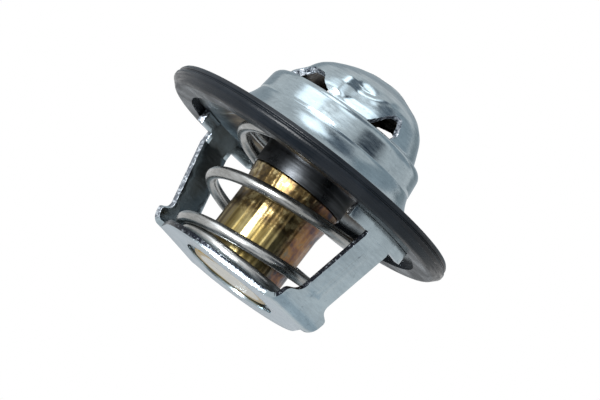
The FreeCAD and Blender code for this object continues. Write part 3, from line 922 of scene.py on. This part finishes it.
def make_stirrup(sheet, edge, lit_far_edge):
    """Copy of the stirrup with softened corners, sheared edges and the base's slight tilt; the cut edges
    are painted shaded, and lit on the far leg.
    """
    strip = bpy.data.objects.new("stirrup_strap", nodes["stirrup"].data.copy())
    bpy.context.scene.collection.objects.link(strip)
    strip.data.materials.clear()
    for material in (sheet, edge, lit_far_edge):
        strip.data.materials.append(material)
    shell = bmesh.new()
    shell.from_mesh(strip.data)
    bmesh.ops.remove_doubles(shell, verts=shell.verts, dist=WELD * MM)
    for _ in range(3):
        long = [e for e in shell.edges if e.calc_length() > LONG_EDGE * MM]
        bmesh.ops.subdivide_edges(shell, edges=long, cuts=1)
        bmesh.ops.triangulate(shell, faces=[f for f in shell.faces if len(f.verts) > 3])
    for face in shell.faces:
        middle = face.calc_center_median() / MM
        if middle.z < STRAP:
            cut = abs(face.normal.z) < 0.5 and abs(middle.x) < FOLD_X and middle.xy.length > HOLE_RIM
        else:
            cut = abs(face.normal.y) > 0.7
        # painted light: the far leg's cut edges take the lit copy of the edge look, all other cut edges the
        # shaded copy
        face.material_index = 0 if not cut else 2 if middle.x < -FOLD_X else 1
    for vert in shell.verts:
        x, y, z = vert.co / MM
        vert.co.z += base_lift(x, y) * max(1 - z / SEAL_PLANE, 0) * MM
    shell.to_mesh(strip.data)
    shell.free()
    bevel = strip.modifiers.new("soft_corners", "BEVEL")
    bevel.width = STRAP_BEVEL * MM
    bevel.segments = 2
    bevel.limit_method = "ANGLE"
    bevel.angle_limit = math.radians(38)
    settle(strip, 32)
    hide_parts("stirrup")
    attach(strip, "frame")


# Spring; turns in degrees
SPRING_START = -126.0
FOOT_LEAD = 324.0             # turn of the closed foot
HEAD_TAIL = 270.0             # turn of the closed head
LEAD_EASE = 60.0
TURN_STEP = 4
END_TUCK = 1.5                # the foot's end lies this much further in
TUCK_TURN = 300.0
LIFT_FADE = 5.0               # the base's tilt dies out over this rise
WIRE_SIDES = 28


def eased(turn):
    """Part of a turn that climbs: none well below zero and all well above, with a soft change between."""
    if turn < -LEAD_EASE:
        return 0
    if turn > LEAD_EASE:
        return turn
    return (turn + LEAD_EASE) ** 2 / (4 * LEAD_EASE)


def spring_path():
    low = STRAP + WIRE_RADIUS
    high = SEAL_PLANE + SPRING_HEAD_RISE - WIRE_RADIUS
    per_degree = SPRING_PITCH / 360
    climb = (high - low) / per_degree
    total = FOOT_LEAD + climb + HEAD_TAIL
    count = round(total / TURN_STEP)
    points = []
    for index in range(count + 1):
        turn = total * index / count
        rise = per_degree * (eased(turn - FOOT_LEAD) - eased(turn - FOOT_LEAD - climb))
        radius = SPRING_FOOT_RADIUS + rise / (high - low) * (SPRING_HEAD_RADIUS - SPRING_FOOT_RADIUS)
        radius -= END_TUCK * max(1 - turn / TUCK_TURN, 0) ** 2
        angle = math.radians(SPRING_START + turn)
        x, y = radius * math.cos(angle), radius * math.sin(angle)
        lift = base_lift(x, y) * max(1 - rise / LIFT_FADE, 0)
        points.append(Vector((x, y, low + rise + lift)))
    return points


def make_spring(material):
    points = spring_path()
    sides = WIRE_SIDES
    verts = []
    for index, point in enumerate(points):
        along = (points[min(index + 1, len(points) - 1)] - points[max(index - 1, 0)]).normalized()
        outward = Vector((point.x, point.y, 0)).normalized()
        outward = (outward - along * outward.dot(along)).normalized()
        side = along.cross(outward)
        for k in range(sides):
            angle = 2 * math.pi * k / sides
            verts.append(point + (outward * math.cos(angle) + side * math.sin(angle)) * WIRE_RADIUS)
    faces = []
    for index in range(len(points) - 1):
        for k in range(sides):
            a = index * sides + k
            b = index * sides + (k + 1) % sides
            faces.append((a, b, b + sides, a + sides))
    faces.append(tuple(range(sides - 1, -1, -1)))
    faces.append(tuple(range(len(verts) - sides, len(verts))))
    spring = new_piece("coil_spring", verts, faces, material)
    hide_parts("main_spring")
    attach(spring, "frame")
    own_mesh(spring)


# Putting it together
make_camera()
make_world()
make_floor()
looks = {
    "stamped_steel": steel_look(
        "stamped_steel", (0.36, 0.43, 0.465), (0.26, 0.315, 0.345), 0.14, 0.27, 0.003 * MM,
    ),
    "spring_steel": steel_look(
        "spring_steel", (0.38, 0.39, 0.39), (0.21, 0.21, 0.20), 0.20, 0.34, 0.003 * MM,
    ),
    "collar_steel": collar_look(),
    "ground_steel": steel_look(
        "ground_steel", (0.66, 0.67, 0.68), (0.52, 0.53, 0.54), 0.14, 0.24, 0.002 * MM,
    ),
    "black_rubber": rubber_look(),
    "brass": brass_look(),
    "wax": plain_look("wax", (0.22, 0.13, 0.05), (0.34, 0.22, 0.10), 0.6),
    "washer_polymer": plain_look("washer_polymer", (0.72, 0.70, 0.62), (0.82, 0.80, 0.74), 0.45),
}
for sub in frame["record"]["subparts"]:
    node = nodes[sub["node"]]
    node.data.materials.clear()
    look = looks["collar_steel" if sub["node"] == "valve_disc" else sub["material_slot"]]
    node.data.materials.append(look.material)
make_dome(looks["stamped_steel"].material, inner_steel_look().material, torn_steel_look().material)
make_stirrup(
    looks["stamped_steel"].material,
    # painted shade and light: a dark copy of the cut edge look for the near edges and a bright copy for the
    # far leg
    cut_edge_look("shaded_cut_edge", (0.012, 0.014, 0.02), (0.24, 0.27, 0.30), 0.56).material,
    cut_edge_look("lit_far_cut_edge", (0.16, 0.18, 0.21), (0.62, 0.68, 0.74), 0.50).material,
)
make_spring(looks["spring_steel"].material)
make_lamp(*LAMP)
for card in CARDS:
    make_card(*card)

bpy.context.scene.view_settings.view_transform = "Standard"
